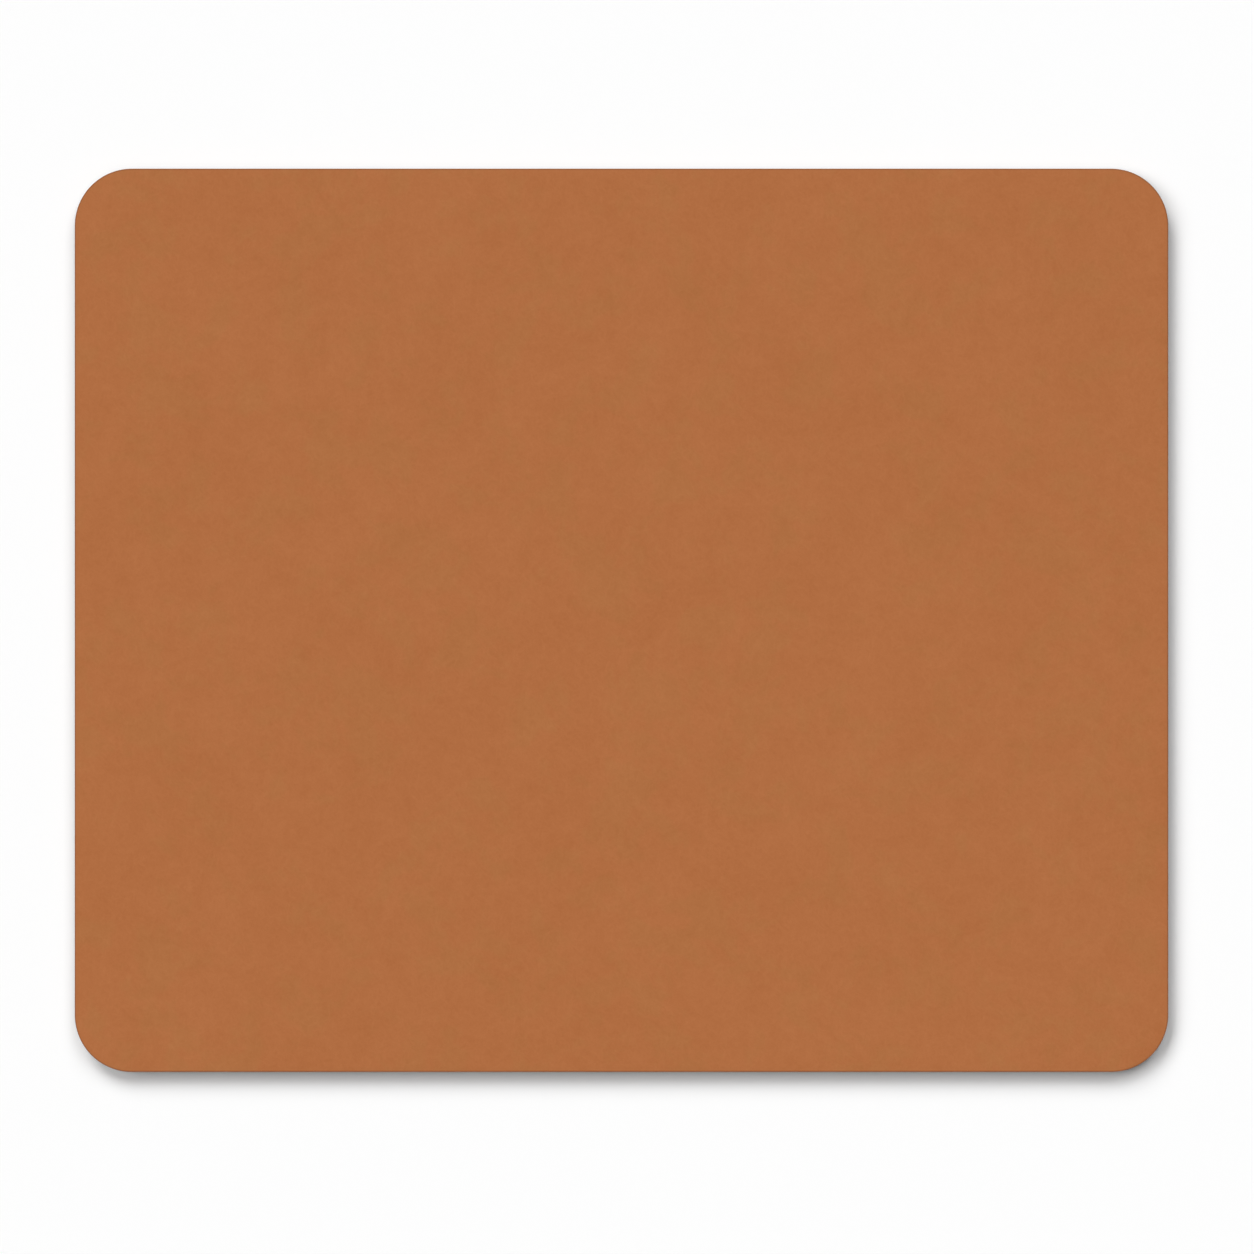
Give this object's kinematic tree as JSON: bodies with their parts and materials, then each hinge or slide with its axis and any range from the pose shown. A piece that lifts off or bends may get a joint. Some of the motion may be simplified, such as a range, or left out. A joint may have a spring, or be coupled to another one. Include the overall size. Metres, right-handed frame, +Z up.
{
  "type": "mouse pad",
  "caption": "Flat mouse pad with rounded corners: a smooth tan leather face bonded over a thin foam core, with an anti-slip rubber base.",
  "frame": {"origin": "middle of the underside, on the desk", "axes": "+X along the long side, +Y away from the user, +Z up out of the leather face"},
  "size_m": [0.23, 0.19, 0.003],
  "materials": {
    "tan_leather": "smooth, matte, faintly clouded",
    "backing_cloth": "plain weave",
    "glue": "clear amber film",
    "foam": "closed-cell foam, cut edge",
    "base_rubber": "matte, moulded grip"
  },
  "bodies": {
    "root": {"leather_top": "tan_leather", "fabric_backing": "backing_cloth", "upper_glue_film": "glue", "foam_core": "foam", "lower_glue_film": "glue", "rubber_base": "base_rubber"}
  },
  "joints": []
}
